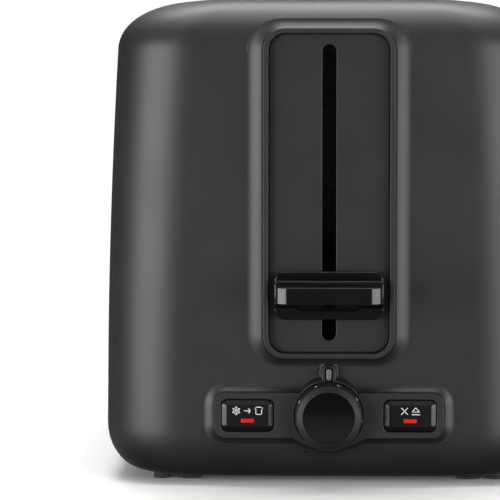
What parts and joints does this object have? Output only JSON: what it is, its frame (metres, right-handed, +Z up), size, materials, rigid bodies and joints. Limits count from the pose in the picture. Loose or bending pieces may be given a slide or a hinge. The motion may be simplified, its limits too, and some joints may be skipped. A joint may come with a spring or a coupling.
{
  "type": "pop up toaster",
  "caption": "Two-slice pop-up toaster with a rounded black moulded housing, an end lever in a raised surround, a browning dial and two lit buttons.",
  "frame": {"origin": "on the table under the middle of the whole toaster, lever and cord gland included", "axes": "+Z up, the lever and controls face -Y, +X to the right of someone facing the controls"},
  "size_m": [0.1862, 0.331, 0.1995],
  "materials": {
    "moulded_black": "matte",
    "panel_black": "satin",
    "button_black": "satin",
    "gloss_black": "gloss",
    "grey_marking": "matte",
    "red_lens": "gloss",
    "slot_steel": "satin",
    "tray_steel": "satin",
    "galvanised_steel": "satin",
    "bright_shield": "satin",
    "core_steel": "satin",
    "rod_steel": "polished",
    "spring_wire": "polished",
    "guard_wire": "polished",
    "bush_brass": "satin",
    "coil_copper": "gloss",
    "contact_block": "matte",
    "board_green": "satin",
    "switch_plastic": "matte",
    "rubber": "matte",
    "mica": "satin",
    "heater_ribbon": "satin",
    "screw_steel": "satin"
  },
  "bodies": {
    "toaster": {"base_plate": "moulded_black", "base_screw_front_left": "screw_steel", "base_screw_front_right": "screw_steel", "base_screw_rear_left": "screw_steel", "base_screw_rear_right": "screw_steel", "browning_control": "switch_plastic", "carriage_spring": "spring_wire", "circuit_board": "board_green", "cord_gland": "rubber", "defrost_switch": "switch_plastic", "foot_front_left": "rubber", "foot_front_right": "rubber", "foot_rear_left": "rubber", "foot_rear_right": "rubber", "front_chassis_plate": "galvanised_steel", "guide_rod": "rod_steel", "housing": "moulded_black", "left_heat_shield": "bright_shield", "left_inner_heater_card": "mica", "left_inner_heater_winding": "heater_ribbon", "left_outer_heater_card": "mica", "left_outer_heater_winding": "heater_ribbon", "lever_panel": "panel_black", "magnet_coil": "coil_copper", "magnet_core": "core_steel", "mains_contacts": "contact_block", "rear_chassis_plate": "galvanised_steel", "right_heat_shield": "bright_shield", "right_inner_heater_card": "mica", "right_inner_heater_winding": "heater_ribbon", "right_outer_heater_card": "mica", "right_outer_heater_winding": "heater_ribbon", "scale_pointer": "grey_marking", "slot_plate": "slot_steel", "stop_switch": "switch_plastic"},
    "carriage": {"lever_handle": "gloss_black", "carriage": "galvanised_steel", "carriage_bush": "bush_brass", "armature_plate": "core_steel", "left_bread_rack": "galvanised_steel", "right_bread_rack": "galvanised_steel"},
    "browning_dial": {"browning_dial": "gloss_black", "browning_shaft": "rod_steel"},
    "defrost_button": {"defrost_button": "button_black", "defrost_light": "red_lens"},
    "stop_button": {"stop_button": "button_black", "stop_light": "red_lens"},
    "crumb_tray": {"crumb_tray": "tray_steel", "crumb_tray_handle": "moulded_black"},
    "left_outer_guard": {"left_outer_bread_guard": "guard_wire"},
    "left_inner_guard": {"left_inner_bread_guard": "guard_wire"},
    "right_inner_guard": {"right_inner_bread_guard": "guard_wire"},
    "right_outer_guard": {"right_outer_bread_guard": "guard_wire"}
  },
  "joints": [
    {"name": "lever_slide", "type": "slide", "parent": "toaster", "child": "carriage", "axis": [0, 0, 1], "range_m": [0, 0.088], "deforming": ["carriage_spring"]},
    {"name": "browning_turn", "type": "hinge", "parent": "toaster", "child": "browning_dial", "pos_m": [0, -0.1445, 0.0301], "axis": [0, 1, 0], "range_deg": [-100, 100]},
    {"name": "defrost_press", "type": "slide", "parent": "toaster", "child": "defrost_button", "axis": [0, 1, 0], "range_m": [0, 0.002], "stiffness_N_per_m": 600, "springref_m": -0.0005},
    {"name": "stop_press", "type": "slide", "parent": "toaster", "child": "stop_button", "axis": [0, 1, 0], "range_m": [0, 0.002], "stiffness_N_per_m": 600, "springref_m": -0.0005},
    {"name": "tray_slide", "type": "slide", "parent": "toaster", "child": "crumb_tray", "axis": [0, 1, 0], "range_m": [0, 0.2]},
    {"name": "left_outer_guard_swing", "type": "hinge", "parent": "toaster", "child": "left_outer_guard", "pos_m": [-0.0465, 0.0105, 0.046], "axis": [0, -1, 0], "range_deg": [0, 4]},
    {"name": "left_inner_guard_swing", "type": "hinge", "parent": "toaster", "child": "left_inner_guard", "pos_m": [-0.0185, 0.0105, 0.046], "axis": [0, 1, 0], "range_deg": [0, 4]},
    {"name": "right_inner_guard_swing", "type": "hinge", "parent": "toaster", "child": "right_inner_guard", "pos_m": [0.0185, 0.0105, 0.046], "axis": [0, -1, 0], "range_deg": [0, 4]},
    {"name": "right_outer_guard_swing", "type": "hinge", "parent": "toaster", "child": "right_outer_guard", "pos_m": [0.0465, 0.0105, 0.046], "axis": [0, 1, 0], "range_deg": [0, 4]}
  ],
  "couplings": [
    {"joint": "left_outer_guard_swing", "follows": "lever_slide", "rad_per_m": 0.7925},
    {"joint": "left_inner_guard_swing", "follows": "lever_slide", "rad_per_m": 0.7925},
    {"joint": "right_inner_guard_swing", "follows": "lever_slide", "rad_per_m": 0.7925},
    {"joint": "right_outer_guard_swing", "follows": "lever_slide", "rad_per_m": 0.7925}
  ]
}
